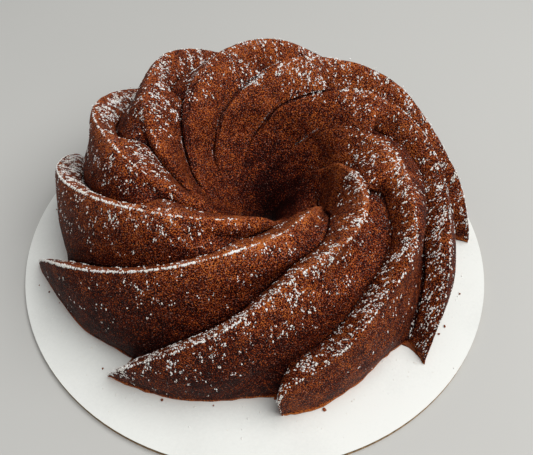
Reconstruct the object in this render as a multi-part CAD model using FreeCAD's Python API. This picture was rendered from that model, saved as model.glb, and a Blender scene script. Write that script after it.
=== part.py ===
import FreeCAD, Part
import os
from math import cos, pi, radians, sin

# A swirled ring cake lying on a round corrugated cake board.
# Millimetres and degrees. +Z is up, -Y is the front, and the origin is the centre of
# the board's underside.

# Cake board: two flat paper liners glued to a fluted sheet between them.
BOARD_DIAMETER = 254.0
TOP_LINER_THICKNESS = 0.35
BOTTOM_LINER_THICKNESS = 0.3
FLUTE_HEIGHT = 2.4
FLUTE_PITCH = 6.4
FLUTE_PAPER = 0.25
FLUTE_GLUE_FLAT = 0.03

# Where the cake stands on the board.
CAKE_OFFSET_X = 0.0
CAKE_OFFSET_Y = 11.0
FIRST_TIP_ANGLE = 195.0
REST_GAP = 0.3

# The ring and its blades. A blade has a crest that climbs from a tip on the base edge,
# winds over the ring and drops into the centre hole. A wall falls from the crest to the
# next blade's groove, and a ledge rises from a groove to its own crest.
BLADES = 9
SWIRL_PER_MM = 1.47
HOLE_TWIST = 5.0
HOLE_TWIST_FROM = 55.0
HOLE_TWIST_TO = 37.0

CREST_TIP_RADIUS = 120.0
CREST_TOP_RADIUS = 70.0
CREST_HOLE_RADIUS = 12.0
CREST_HEIGHT = 72.5
CREST_OUTER_POWER = 1.65
CREST_INNER_POWER = 1.65

GROOVE_FOOT_RADIUS = 106.0
GROOVE_TOP_RADIUS = 57.0
GROOVE_HOLE_RADIUS = 13.5
GROOVE_HEIGHT = 60.5
GROOVE_OUTER_POWER = 1.65
GROOVE_INNER_POWER = 1.45

GROOVE_LAG_OUTER = 18.0
GROOVE_LAG_INNER = 31.0
LAG_TURN_OUTER = 67.0
LAG_TURN_INNER = 51.0

WALL_BULGE = 1.5
LEDGE_BULGE = 2.5

# How finely the surfaces are laid out.
POLES_ALONG = 33
POLES_ON_WALL = 11
POLES_ON_LEDGE = 8
SURFACE_DEGREE = 3

BOARD_RADIUS = BOARD_DIAMETER / 2
BLADE_PITCH = 360.0 / BLADES
FLUTING_BOTTOM = BOTTOM_LINER_THICKNESS
FLUTING_TOP = FLUTING_BOTTOM + FLUTE_HEIGHT
BOARD_TOP = FLUTING_TOP + TOP_LINER_THICKNESS
CAKE_BOTTOM = BOARD_TOP + REST_GAP
UP = FreeCAD.Vector(0, 0, 1)


def mix(start, end, share):
    return start + (end - start) * share


def smooth_step(start, end, value):
    share = min(1.0, max(0.0, (value - start) / (end - start)))
    return share * share * (3.0 - 2.0 * share)


def swirl_angle(radius):
    """Degrees that a crest has turned, counted from its tip, where it reaches a radius."""
    turned = SWIRL_PER_MM * (CREST_TIP_RADIUS - radius)
    inside = max(0.0, HOLE_TWIST_FROM - radius) / (HOLE_TWIST_FROM - HOLE_TWIST_TO)
    return turned + HOLE_TWIST * inside ** 2


def groove_lag(radius):
    """Degrees by which a groove runs behind its crest at a radius."""
    return mix(GROOVE_LAG_INNER, GROOVE_LAG_OUTER, smooth_step(LAG_TURN_INNER, LAG_TURN_OUTER, radius))


def arch(along, foot, top, hole, height, outer_power, inner_power):
    """Radius and height of an arch from its outer foot (along 0) to its foot in the hole (along 1)."""
    across = cos(pi * along)
    if across > 0:
        radius = top + (foot - top) * across
        power = outer_power
    else:
        radius = top + (top - hole) * across
        power = inner_power
    rise = max(0.0, 1.0 - abs(across) ** power) ** (1.0 / power)
    return radius, height * rise


def crest_point(along):
    radius, height = arch(along, CREST_TIP_RADIUS, CREST_TOP_RADIUS, CREST_HOLE_RADIUS,
                          CREST_HEIGHT, CREST_OUTER_POWER, CREST_INNER_POWER)
    return radius, swirl_angle(radius), height


def groove_point(along):
    radius, height = arch(along, GROOVE_FOOT_RADIUS, GROOVE_TOP_RADIUS, GROOVE_HOLE_RADIUS,
                          GROOVE_HEIGHT, GROOVE_OUTER_POWER, GROOVE_INNER_POWER)
    return radius, swirl_angle(radius) - groove_lag(radius), height


def place(radius, angle, height):
    turned = radians(FIRST_TIP_ANGLE + angle)
    return FreeCAD.Vector(CAKE_OFFSET_X + radius * cos(turned),
                          CAKE_OFFSET_Y + radius * sin(turned),
                          CAKE_BOTTOM + height)


def wall_point(along, across):
    """A blade's wall, from its crest (across 0) to the next blade's groove (across 1)."""
    crest = crest_point(along)
    groove = groove_point(along)
    swell = WALL_BULGE * 4.0 * across * (1.0 - across) * sin(pi * along)
    return place(mix(crest[0], groove[0], across) + swell,
                 mix(crest[1], groove[1] + BLADE_PITCH, across),
                 mix(crest[2], groove[2], across))


def ledge_point(along, across):
    """A blade's ledge, from its groove (across 0) to its crest (across 1)."""
    crest = crest_point(along)
    groove = groove_point(along)
    swell = LEDGE_BULGE * 4.0 * across * (1.0 - across) * sin(pi * along)
    return place(mix(groove[0], crest[0], across),
                 mix(groove[1], crest[1], across),
                 mix(groove[2], crest[2], across) + swell)


def poles_of(point_on, columns):
    return [[point_on(row / (POLES_ALONG - 1), column / (columns - 1)) for column in range(columns)]
            for row in range(POLES_ALONG)]


def clamped(count):
    """Knots and multiplicities of a clamped uniform spline with this many poles."""
    knots = list(range(count - SURFACE_DEGREE + 1))
    inner = [1] * (len(knots) - 2)
    return knots, [SURFACE_DEGREE + 1] + inner + [SURFACE_DEGREE + 1]


def spline_face(poles):
    row_knots, row_counts = clamped(len(poles))
    column_knots, column_counts = clamped(len(poles[0]))
    surface = Part.BSplineSurface()
    surface.buildFromPolesMultsKnots(poles, row_counts, column_counts, row_knots, column_knots,
                                     False, False, SURFACE_DEGREE, SURFACE_DEGREE)
    return surface.toShape()


def spline_edge(poles):
    knots, counts = clamped(len(poles))
    curve = Part.BSplineCurve()
    curve.buildFromPolesMultsKnots(poles, counts, knots, False, SURFACE_DEGREE)
    return curve.toShape()


def around_ring(shape):
    """Copies of a shape, one for each blade."""
    centre = FreeCAD.Vector(CAKE_OFFSET_X, CAKE_OFFSET_Y, 0)
    copies = []
    for blade in range(BLADES):
        copy = shape.copy()
        copy.rotate(centre, UP, blade * BLADE_PITCH)
        copies.append(copy)
    return copies


def foot_loop(wall_poles, ledge_poles):
    """The closed line on which the blades' feet meet the cake's flat underside."""
    edges = around_ring(spline_edge(wall_poles)) + around_ring(spline_edge(ledge_poles))
    return Part.Wire(Part.__sortEdges__(edges))


def make_sponge():
    wall_poles = poles_of(wall_point, POLES_ON_WALL)
    ledge_poles = poles_of(ledge_point, POLES_ON_LEDGE)
    outer_loop = foot_loop(wall_poles[0], ledge_poles[0])
    hole_loop = foot_loop(wall_poles[-1], ledge_poles[-1])
    underside = Part.makeFace([outer_loop, hole_loop], "Part::FaceMakerBullseye")
    faces = around_ring(spline_face(wall_poles)) + around_ring(spline_face(ledge_poles))
    shell = Part.Shell(faces + underside.Faces)
    shell.sewShape()
    sponge = Part.Solid(shell)
    if sponge.Volume < 0:
        sponge.reverse()
    return sponge


def make_liner(bottom, thickness):
    return Part.makeCylinder(BOARD_RADIUS, thickness, FreeCAD.Vector(0, 0, bottom))


def flute_line(start_x, middle_z, swing):
    """One wave of the fluted sheet, as an arc up and an arc down."""
    quarter = FLUTE_PITCH / 4
    points = [FreeCAD.Vector(start_x + step * quarter, 0, middle_z + swing * sin(step * pi / 2))
              for step in range(5)]
    return [Part.Arc(points[0], points[1], points[2]).toShape(),
            Part.Arc(points[2], points[3], points[4]).toShape()]


def make_fluting():
    waves = int(BOARD_DIAMETER / FLUTE_PITCH) + 2
    first_x = -waves * FLUTE_PITCH / 2
    middle_z = (FLUTING_BOTTOM + FLUTING_TOP) / 2
    swing = (FLUTE_HEIGHT - FLUTE_PAPER) / 2 + FLUTE_GLUE_FLAT
    edges = []
    for wave in range(waves):
        edges += flute_line(first_x + wave * FLUTE_PITCH, middle_z - FLUTE_PAPER / 2, swing)
    lower = Part.Wire(edges)
    upper = lower.copy()
    upper.translate(FreeCAD.Vector(0, 0, FLUTE_PAPER))
    left = Part.makeLine(lower.Vertexes[0].Point, upper.Vertexes[0].Point)
    right = Part.makeLine(lower.Vertexes[-1].Point, upper.Vertexes[-1].Point)
    outline = Part.Wire(Part.__sortEdges__(lower.Edges + [right] + upper.Edges + [left]))
    sheet = Part.Face(outline).extrude(FreeCAD.Vector(0, BOARD_DIAMETER, 0))
    sheet.translate(FreeCAD.Vector(0, -BOARD_RADIUS, 0))
    disc = Part.makeCylinder(BOARD_RADIUS, FLUTE_HEIGHT, FreeCAD.Vector(0, 0, FLUTING_BOTTOM))
    return sheet.common(disc)


NODES = {
    "sponge": make_sponge,
    "board_top_liner": lambda: make_liner(FLUTING_TOP, TOP_LINER_THICKNESS),
    "board_fluting": make_fluting,
    "board_bottom_liner": lambda: make_liner(0.0, BOTTOM_LINER_THICKNESS),
}

os.makedirs("parts", exist_ok=True)
for name, make in NODES.items():
    shape = make()
    print(name, "valid" if shape.isValid() else "NOT VALID", len(shape.Solids), "solid,",
          round(shape.Volume), "mm3")
    shape.exportStep("parts/" + name + ".step")
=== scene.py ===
"""A swirled ring cake dusted with icing sugar, on a round corrugated cake board."""
from itertools import combinations
from math import cos, pi, radians, sin

import bpy
import numpy as np
from bpy.props import FloatProperty, FloatVectorProperty, IntProperty, PointerProperty
from mathutils import Matrix, Vector, noise


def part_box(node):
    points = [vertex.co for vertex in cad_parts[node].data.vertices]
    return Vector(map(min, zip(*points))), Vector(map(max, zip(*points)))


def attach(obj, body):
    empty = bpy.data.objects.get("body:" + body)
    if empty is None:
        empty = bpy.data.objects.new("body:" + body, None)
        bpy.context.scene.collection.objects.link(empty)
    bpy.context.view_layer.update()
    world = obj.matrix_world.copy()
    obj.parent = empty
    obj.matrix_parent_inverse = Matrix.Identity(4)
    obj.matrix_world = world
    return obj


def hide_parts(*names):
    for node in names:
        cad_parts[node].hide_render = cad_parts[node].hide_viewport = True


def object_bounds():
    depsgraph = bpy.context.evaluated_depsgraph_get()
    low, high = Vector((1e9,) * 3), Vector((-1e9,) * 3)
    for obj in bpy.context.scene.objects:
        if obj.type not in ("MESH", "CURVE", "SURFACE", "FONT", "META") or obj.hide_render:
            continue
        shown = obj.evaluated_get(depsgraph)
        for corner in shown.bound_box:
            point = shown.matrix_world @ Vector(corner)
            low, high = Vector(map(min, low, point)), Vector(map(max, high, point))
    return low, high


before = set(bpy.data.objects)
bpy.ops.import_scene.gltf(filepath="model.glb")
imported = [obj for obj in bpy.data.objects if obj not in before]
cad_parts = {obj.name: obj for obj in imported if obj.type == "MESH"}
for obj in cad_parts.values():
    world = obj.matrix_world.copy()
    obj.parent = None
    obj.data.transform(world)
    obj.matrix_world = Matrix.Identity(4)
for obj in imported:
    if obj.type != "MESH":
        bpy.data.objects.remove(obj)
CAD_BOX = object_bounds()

bl_info = {
    "name": "Swirled ring cake",
    "version": (1, 0, 0),
    "blender": (4, 5, 0),
    "location": "View3D > Sidebar > Ring cake",
    "description": "Builds the crust, icing sugar, crumbs and board finish of a swirled ring cake",
    "category": "Object",
}

MM = 0.001
GROUND = CAD_BOX[0][2]
BOARD_LOW, BOARD_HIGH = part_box("board_top_liner")
SPONGE_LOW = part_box("sponge")[0]
BOARD_TOP = BOARD_HIGH.z
BOARD_RADIUS = (BOARD_HIGH.x - BOARD_LOW.x) / 2


def mm(*sizes):
    """Sizes in metres from sizes in millimetres."""
    return tuple(size * MM for size in sizes)


def linear(code):
    """A linear colour from an sRGB hex code."""
    shares = [int(code[start:start + 2], 16) / 255 for start in (1, 3, 5)]
    return [share / 12.92 if share <= 0.04045 else ((share + 0.055) / 1.055) ** 2.4 for share in shares]


def length(name, size, description):
    return FloatProperty(name=name, description=description, default=size, unit="LENGTH", precision=4)


def turn(name, degrees, description):
    return FloatProperty(name=name, description=description, default=radians(degrees), unit="ROTATION")


def plain(name, value, description):
    return FloatProperty(name=name, description=description, default=value)


def count(name, value, description):
    return IntProperty(name=name, description=description, default=value, min=1)


def colour(name, code, description):
    return FloatVectorProperty(name=name, description=description, subtype="COLOR", size=3,
                               min=0.0, max=1.0, default=linear(code))


class CakeShape(bpy.types.PropertyGroup):
    """The sizes of the ring and its swirled blades, the same as in the construction model."""
    centre_y: length("Offset on the board", 11 * MM, "How far behind the board's centre the cake stands")
    bottom: length("Underside", SPONGE_LOW.z, "Height of the cake's underside")
    blades: count("Blades", 9, "Number of swirled blades")
    first_tip: turn("First tip", 195, "Direction of the first blade's tip")
    swirl: turn("Swirl", 1.47, "How far a crest turns in each millimetre towards the hole")
    hole_twist: turn("Twist in the hole", 5, "Extra turn of the crests inside the hole")
    twist_from: length("Twist starts", 55 * MM, "Radius where the extra turn starts")
    twist_to: length("Twist reached", 37 * MM, "Radius where the extra turn is reached")
    crest_tip: length("Crest tip radius", 120 * MM, "Radius of a crest's tip on the base edge")
    crest_top: length("Crest top radius", 70 * MM, "Radius of a crest's highest point")
    crest_hole: length("Crest hole radius", 12 * MM, "Radius of a crest's foot in the hole")
    crest_height: length("Crest height", 72.5 * MM, "Height of a crest above the underside")
    crest_outer_power: plain("Crest outer power", 1.65, "Fullness of the crest's arch outside")
    crest_inner_power: plain("Crest inner power", 1.65, "Fullness of the crest's arch inside")
    groove_foot: length("Groove foot radius", 106 * MM, "Radius of a groove's foot on the base edge")
    groove_top: length("Groove top radius", 57 * MM, "Radius of a groove's highest point")
    groove_hole: length("Groove hole radius", 13.5 * MM, "Radius of a groove's foot in the hole")
    groove_height: length("Groove height", 60.5 * MM, "Height of a groove above the underside")
    groove_outer_power: plain("Groove outer power", 1.65, "Fullness of the groove's arch outside")
    groove_inner_power: plain("Groove inner power", 1.45, "Fullness of the groove's arch inside")
    lag_outer: turn("Groove lag outside", 18, "How far a groove runs behind its crest outside")
    lag_inner: turn("Groove lag inside", 31, "How far a groove runs behind its crest inside")
    lag_turn_outer: length("Lag turns from", 67 * MM, "Radius outside which the outer lag holds")
    lag_turn_inner: length("Lag turns to", 51 * MM, "Radius inside which the inner lag holds")
    wall_bulge: length("Wall bulge", 1.5 * MM, "How far a wall swells outward")
    ledge_bulge: length("Ledge bulge", 2.5 * MM, "How far a ledge swells upward")


class CakeFinish(bpy.types.PropertyGroup):
    """The colours and amounts of the cake's surfaces."""
    crust_burnt: colour("Darkest crust", "#1B0706", "Pores and the darkest baked crust")
    crust_dark: colour("Dark crust", "#3B120D", "Dark baked crust")
    crust_mid: colour("Crust", "#682513", "Chocolate crust in the middle of its range")
    crust_light: colour("Light crust", "#A3481B", "Buttery crust on crests and rims")
    crust_gold: colour("Golden crust", "#C87434", "The lightest grains of the buttery crust")
    bloom_and_glint: colour("Bloom", "#CB907C", "Pale fat and sugar dried on the crust's grains")
    # Pale specks on the crust: partly dried fat and sugar, partly painted glints of its sheen.
    crumb: colour("Crumb", "#8A4B28", "Torn crumb under the cake and at its edge")
    sugar: colour("Icing sugar", "#FCFBF8", "Icing sugar")
    board_white: colour("Board face", "#F3F4EE", "Coated white paper")
    board_kraft: colour("Board kraft", "#A98B66", "Kraft paper inside and under the board")
    pore: length("Pore", 1.1 * MM, "Distance between the crust's pores")
    grain: length("Crumb grain", 0.5 * MM, "Width of the crust's grains")
    # Real bloom, glints of sheen and sugar dust are finer than shows at this distance, so they are
    # drawn as specks just coarse enough to be seen.
    bloom_and_glint_size: length("Bloom grain", 0.65 * MM, "Width of the specks of bloom")
    dust: length("Dust", 0.7 * MM, "Width of the specks of sugar dust")


class StudioSettings(bpy.types.PropertyGroup):
    """The floor, the lights and the camera."""
    floor: colour("Floor", "#C9C8C3", "Plain pale floor")
    key_power: FloatProperty(name="Key light", description="Power of the soft light over the cake's right",
                             default=18.7, unit="POWER")
    lens: plain("Lens", 43.9, "Focal length in millimetres on a 36 mm sensor")
    elevation: turn("Camera elevation", 49.73, "How steeply the camera looks down")
    roll: turn("Camera roll", 1.34, "How far the camera leans")


# ---------------------------------------------------------------- shape of the ring

ROWS = 230
WALL_COLUMNS = 27
LEDGE_COLUMNS = 19
COLUMNS_PER_BLADE = WALL_COLUMNS + LEDGE_COLUMNS
# How far the columns gather towards crests and grooves: 0 is evenly spread.
GATHERING = 0.75
# Where along a crest the ring is highest. The funnel lies beyond.
SUMMIT = 0.5


def mix(start, end, share):
    return start + (end - start) * share


def smooth_step(start, end, value):
    share = np.clip((value - start) / (end - start), 0.0, 1.0)
    return share * share * (3.0 - 2.0 * share)


def window(edges, value):
    """1 between the two middle edges, falling to 0 at the outer two."""
    return smooth_step(*edges[:2], value) * (1.0 - smooth_step(*edges[2:], value))


def hump(value, place, width):
    """A smooth hump that is 1 at its place and falls off over its width."""
    return np.exp(-((value - place) / width) ** 2)


def swirl_angle(shape, radius):
    """How far a crest has turned, counted from its tip, where it reaches a radius."""
    inside = np.maximum(0.0, shape.twist_from - radius) / (shape.twist_from - shape.twist_to)
    return shape.swirl * (shape.crest_tip - radius) / MM + shape.hole_twist * inside ** 2


def arch(along, foot, top, hole, height, outer_power, inner_power):
    """Radius and height of an arch from its outer foot (along 0) to its foot in the hole (along 1)."""
    across = np.cos(pi * along)
    outside = across > 0
    power = np.where(outside, outer_power, inner_power)
    reach = np.where(outside, foot - top, top - hole)
    rise = np.maximum(0.0, 1.0 - np.abs(across) ** power) ** (1.0 / power)
    return top + reach * across, height * rise


def crest_line(shape, along):
    """Radius, angle and height along a crest."""
    radius, height = arch(along, shape.crest_tip, shape.crest_top, shape.crest_hole, shape.crest_height,
                          shape.crest_outer_power, shape.crest_inner_power)
    return radius, swirl_angle(shape, radius), height


def groove_line(shape, along):
    """Radius, angle and height along a groove."""
    radius, height = arch(along, shape.groove_foot, shape.groove_top, shape.groove_hole,
                          shape.groove_height, shape.groove_outer_power, shape.groove_inner_power)
    lag = mix(shape.lag_inner, shape.lag_outer,
              smooth_step(shape.lag_turn_inner, shape.lag_turn_outer, radius))
    return radius, swirl_angle(shape, radius) - lag, height


def gathered(steps):
    """Shares from 0 up to but not including 1, gathered towards both ends."""
    even = np.arange(steps) / steps
    return mix(even, 0.5 - 0.5 * np.cos(pi * even), GATHERING)


def rounded(share, edge):
    """A share from 0 to 1 that starts level, over about the width of the edge."""
    return (np.sqrt(share ** 2 + edge ** 2) - edge) / (np.sqrt(1.0 + edge ** 2) - edge)


# How softly a crest rounds over, as a share of its wall's width: the same for all outside the
# ring, and each blade's own inside it. A ledge rounds over by half of that.
SOFT_OUTSIDE = 0.03
SOFT_CRESTS = (0.06, 0.30, 0.16, 0.06, 0.06, 0.30, 0.18, 0.10, 0.07)
SOFT_UP_TO = mm(46, 72)
LEDGE_SOFTNESS = 0.5
# How far each groove closes up to a low step inside the ring, where less than 0 is wider open,
# and how much of that it closes in height.
CLOSED_GROOVES = (-0.55, 0.2, 0.75, 0.85, 0.85, 0.3, 0.3, 0.3, 0.0)
CLOSED_OVER = (0.45, 0.58)
CLOSED_IN_HEIGHT = 0.7
# How much deeper a groove runs where it enters the hole, in millimetres.
SUNK_GROOVES = (9.0, 1.0, 0.0, 0.0, 0.0, 0.0, 0.0, 0.0, 0.0)
SUNK_BETWEEN = mm(28, 40, 52, 68)


class Surface:
    """The crust as a grid: rows run from the base edge over the ring into the hole, and columns
    run round the ring, each blade's wall first and then the ledge behind the next crest."""

    def __init__(self, shape):
        along = np.linspace(0.0, 1.0, ROWS)[:, None, None]
        blade = np.arange(shape.blades)[None, :, None]
        pitch = 2 * pi / shape.blades
        crest = crest_line(shape, along)
        groove = groove_line(shape, along)
        arched = np.sin(pi * along)
        wall = gathered(WALL_COLUMNS)[None, None, :]
        ledge = gathered(LEDGE_COLUMNS)[None, None, :]
        inside = 1.0 - smooth_step(*SOFT_UP_TO, crest[0])
        softness = mix(SOFT_OUTSIDE, np.array(SOFT_CRESTS)[blade], inside)
        fall = rounded(wall, softness)
        rise = 1.0 - rounded(1.0 - ledge, LEDGE_SOFTNESS * softness)
        swell = 4.0 * shape.wall_bulge * wall * (1.0 - wall) * arched
        lift = 4.0 * shape.ledge_bulge * ledge * (1.0 - ledge) * arched
        closed = np.array(CLOSED_GROOVES)[blade] * smooth_step(*CLOSED_OVER, along)
        groove_radius = mix(groove[0], crest[0], closed)
        groove_angle = mix(groove[1] + pitch, crest[1], closed)
        groove_height = mix(groove[2], crest[2], CLOSED_IN_HEIGHT * closed)
        sunk = np.array(SUNK_GROOVES)[blade] * MM * window(SUNK_BETWEEN, crest[0])
        groove_height = groove_height - sunk * (along > SUMMIT)
        parts = (
            (mix(crest[0], groove_radius, fall) + swell, mix(groove_radius, crest[0], rise)),
            (mix(crest[1], groove_angle, wall), mix(groove_angle, crest[1] + pitch, ledge)),
            (mix(crest[2], groove_height, fall), mix(groove_height, crest[2], rise) + lift),
        )
        radius, angle, height = (np.concatenate(part, axis=2) for part in parts)
        self.angle = (angle + shape.first_tip + blade * pitch).reshape(ROWS, -1)
        self.radius = radius.reshape(ROWS, -1)
        self.height = height.reshape(ROWS, -1)
        self.along = np.broadcast_to(along[:, :, 0], self.angle.shape)
        self.in_funnel = self.along > SUMMIT
        self.on_wall = np.tile(np.arange(COLUMNS_PER_BLADE) < WALL_COLUMNS, shape.blades)[None, :]
        # 1 on a crest and 0 in a groove.
        self.crest = np.tile(np.concatenate([1.0 - wall, ledge], axis=2)[0], shape.blades)
        # The blade whose groove is nearest, and the one whose crest is: a ledge belongs to the
        # groove of one blade and to the crest of the next.
        self.groove_blade = np.repeat(np.arange(shape.blades), COLUMNS_PER_BLADE)[None, :]
        self.blade = np.where(self.on_wall, self.groove_blade, (self.groove_blade + 1) % shape.blades)
        self.centre = np.array([0.0, shape.centre_y, shape.bottom])

    def place(self):
        """Works out the grid's points from its radii, angles and heights."""
        self.points = self.centre + np.stack([self.radius * np.cos(self.angle),
                                              self.radius * np.sin(self.angle), self.height], axis=2)

    def normals(self):
        """The way out of the surface at each point."""
        down = np.gradient(self.points, axis=0)
        round_ring = np.roll(self.points, -1, axis=1) - np.roll(self.points, 1, axis=1)
        normal = np.cross(round_ring, down)
        return normal / np.maximum(np.linalg.norm(normal, axis=2, keepdims=True), 1e-12)

    def upward(self):
        """How squarely each point faces up: 0 on anything upright or overhanging."""
        return np.clip(self.normals()[:, :, 2], 0.0, 1.0)

    def push(self, distance):
        """Moves every point out of the surface by its distance."""
        self.points = self.points + self.normals() * distance[:, :, None]

    def measure_gaps(self):
        """Keeps the distances round the ring from each point to the nearest crest and groove."""
        step = np.linalg.norm(np.roll(self.points, -1, axis=1) - self.points, axis=2)
        step = step.reshape(ROWS, -1, COLUMNS_PER_BLADE)
        gone = np.cumsum(step, axis=2) - step
        whole = gone[:, :, WALL_COLUMNS:WALL_COLUMNS + 1]
        end = gone[:, :, -1:] + step[:, :, -1:]
        wall = np.arange(COLUMNS_PER_BLADE) < WALL_COLUMNS
        self.to_crest = np.where(wall, gone, end - gone).reshape(ROWS, -1)
        self.to_groove = np.abs(gone - whole).reshape(ROWS, -1)


def bumps(points, size, seed):
    """Smooth noise from -1 to 1 at each point, of that size in metres. Each seed gives another."""
    offset = Vector((seed, seed * 1.7, seed * 2.3))
    flat = points.reshape(-1, 3) / size
    values = [noise.noise(Vector(point) + offset) for point in flat]
    return np.array(values).reshape(points.shape[:-1])


def layered_bumps(points, layers, level=0.0):
    """A level with layers of noise on it, each a (strength, size, seed)."""
    return sum((strength * bumps(points, size, seed) for strength, size, seed in layers), level)


# Where a blade leaves its regular path: blade, radius on its crest, and how far it moves
# outward, upward and round the ring there, in millimetres. A blade with a fraction is a place
# that share of the way to the next crest. Real batter doesn't leave nine blades alike.
NUDGES = (
    (-0.3, 62, 0, -5.0, 0),
    (0, 120, 0.5, 0, -3.0),
    (0, 46, 0, 1.0, 0),
    (0, 31, 0, -14.0, 0),
    (1, 120, -2.5, 0, -2.0),
    (1, 88, -2.5, 1.5, -2.0),
    (1, 69, 5.5, 0, -2.0),
    (1.55, 77, 0, 0, -13.0),
    (1.55, 90, 0, 0, -8.0),
    (2, 120, -8.5, 0, 5.5),
    (2, 117, -3.0, 6.0, -4.5),
    (2, 90, 4.5, 0, 1.3),
    (2.55, 85, 3.0, 1.5, 0),
    (3, 105, -2.0, 0, 0),
    (3, 37, 0, 0, 2.0),
    (4, 120, 1.0, 0, 4.0),
    (4, 90, 3.0, 2.5, 0),
    (4, 37, 0, 0, 3.0),
    (5, 120, -2.0, 0, 0),
    (5, 86, 3.0, 2.5, 0),
    (6, 120, -4.0, 0, 0),
    (6, 86, 3.5, 3.0, 0),
    (7, 120, -4.0, 0, 0),
    (7, 90, 3.5, 0, 2.0),
    (7, 108, 0, 0, 4.5),
    (8, 98, 2.0, 0, 0),
    (8, 110, 0, 0, 3.5),
)
# How far a nudge is felt, as a share of the way along the crest and as an angle round the ring.
NUDGE_ALONG = 0.07
NUDGE_ROUND = radians(13)
# Where a foot leaves its regular line: blade, share of the way from crest to groove, and how far
# it moves outward in millimetres. A share past 1 lies beyond the groove, on the next ledge.
FOOT_NUDGES = (
    (0, 0.1, 1.5),
    (0, 0.6, 2.2),
    (1, 0.3, 1.2),
    (1, 0.7, 2.0),
    (1, 1.0, 6.5),
    (2, 0.15, 4.5),
    (2, 0.85, -2.4),
    (2, 1.2, 3.5),
    (3, 0.25, -4.0),
    (3, 0.75, 4.5),
)
FOOT_NUDGE_WIDTH = 0.25
# How far the middle of a wall's foot shrinks in, and how far up its line that goes.
FOOT_DRAWN_IN = 3.6 * MM
FOOT_FADES = (0.0, 0.16)
# A nudge upward lets go of the foot, which stays on the board.
FOOT_HELD = (0.0, 0.05)
# The ridges end between these radii, the funnel drops by this share of its height, and the hole
# narrows.
RIDGES_END = mm(22, 36)
FUNNEL_DROP = 0.12
FUNNEL_DROP_OVER = mm(42, 34)
HOLE_NARROWED = 4.5 * MM
HOLE_NARROWED_OVER = mm(36, 14)
# The sharp crease in each groove. It starts above the foot, is shallower inside the ring and
# ends in the hole.
CREVICE_DEPTH = 1.8 * MM
CREVICE_WIDTH = 0.9 * MM
CREVICE_SHARE = (1.0, 1.0, 1.2, 1.5, 1.5, 1.2, 1.0, 1.0, 1.0)
CREVICE_ABOVE = (0.03, 0.10)
CREVICE_FROM = mm(26, 36)
CREVICE_INSIDE = 0.8
CREVICE_INSIDE_TO = mm(46, 62)
# How much of it is left on the outside of the ring, where some creases are soft.
CREVICE_OUTSIDE = (0.35, 0.35, 1.0, 1.0, 1.0, 1.0, 1.0, 1.0, 1.0)
OUTSIDE_FROM = mm(54, 72)
# Which blades end in a low step, darkened with painted shade, where they meet the ledge below, the
# radii between which their grooves run over the ring as a soft valley, and the crease beside such a
# step's crest.
STEPPED = (0.0, 0.0, 0.5, 0.9, 0.9, 0.6, 0.0, 0.0, 0.0)
VALLEY_BETWEEN = mm(54, 60, 78, 92)
STEP_CREASE_BETWEEN = mm(30, 40, 56, 63)
STEP_CREASE_DEPTH = 2.2 * MM
STEP_CREASE_REACH = mm(0.8, 2.4)
STEP_CREASE_STARTS = mm(0, 0.6)
# The lumps of the whole crust as (height in millimetres, size, seed), lower on the base edge.
LUMPS = ((0.60, 19 * MM, 3.1), (0.30, 7 * MM, 5.7), (0.20, 2.4 * MM, 9.2))
LUMPS_ON_EDGE = 0.3
EDGE_UP_TO = (0.0, 0.03)
# The crumbly skirt at the base: how high it goes, how far it stands out and how ragged it is,
# both in millimetres, and the size of its teeth.
SKIRT_UP_TO = 4.0 * MM
SKIRT_OUT = 0.3
SKIRT_RAGGED = 0.9
SKIRT_TEETH = 3.2 * MM


def nudge_blades(surface, shape):
    """Moves the crests by NUDGES, fading out along each crest and towards its neighbours."""
    pitch = 2 * pi / shape.blades
    crest_angle = crest_line(shape, surface.along)[1]
    for blade, crest_radius, outward, upward, sideways in NUDGES:
        out = crest_radius * MM - shape.crest_top
        reach = shape.crest_tip - shape.crest_top if out > 0 else shape.crest_top - shape.crest_hole
        away = surface.angle - crest_angle - shape.first_tip - blade * pitch
        away = (away + pi) % (2 * pi) - pi
        near = np.exp(-((surface.along - np.arccos(min(out / reach, 1.0)) / pi) / NUDGE_ALONG) ** 2
                      - (away / NUDGE_ROUND) ** 2)
        surface.angle = surface.angle + near * sideways * MM / surface.radius
        surface.height = surface.height + near * upward * MM * smooth_step(*FOOT_HELD, surface.along)
        surface.radius = surface.radius + near * outward * MM


def draw_in_foot(surface):
    """Draws in the foot of each wall, where the batter shrank as it baked."""
    low = 1.0 - smooth_step(*FOOT_FADES, surface.along)
    fallen = 1.0 - surface.crest
    surface.radius = surface.radius - FOOT_DRAWN_IN * low * 4.0 * fallen * surface.crest * surface.on_wall
    for blade, share, outward in FOOT_NUDGES:
        place = np.where(surface.on_wall, fallen, 1.0 + surface.crest)
        near = hump(place, share, FOOT_NUDGE_WIDTH) * (surface.groove_blade == blade)
        surface.radius = surface.radius + near * low * outward * MM


def calm_funnel(surface):
    """Ends the ridges at the hole's rim, where the funnel turns steeply down."""
    ridged = smooth_step(*RIDGES_END, surface.radius)
    surface.height = surface.height * (1.0 - FUNNEL_DROP * smooth_step(*FUNNEL_DROP_OVER, surface.radius))
    surface.radius = surface.radius - HOLE_NARROWED * smooth_step(*HOLE_NARROWED_OVER, surface.radius)
    for name in ("radius", "height"):
        grid = getattr(surface, name)
        setattr(surface, name, mix(grid.mean(axis=1, keepdims=True), grid, ridged))


def by_blade(surface, amounts):
    """Each blade's amount, spread over the points whose nearest crest is that blade's."""
    return np.array(amounts)[surface.blade] * np.ones(surface.radius.shape)


def by_groove(surface, amounts):
    """Each blade's amount, spread over the points whose nearest groove follows that blade."""
    return np.array(amounts)[surface.groove_blade] * np.ones(surface.radius.shape)


def creased(surface):
    """How much of a crease each groove is: 1 where it is sharp and 0 where it is a soft valley."""
    valley = by_groove(surface, STEPPED) * window(VALLEY_BETWEEN, surface.radius)
    outside = smooth_step(*OUTSIDE_FROM, surface.radius)
    return mix(1.0, by_groove(surface, CREVICE_OUTSIDE), outside) * (1.0 - valley)


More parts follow.
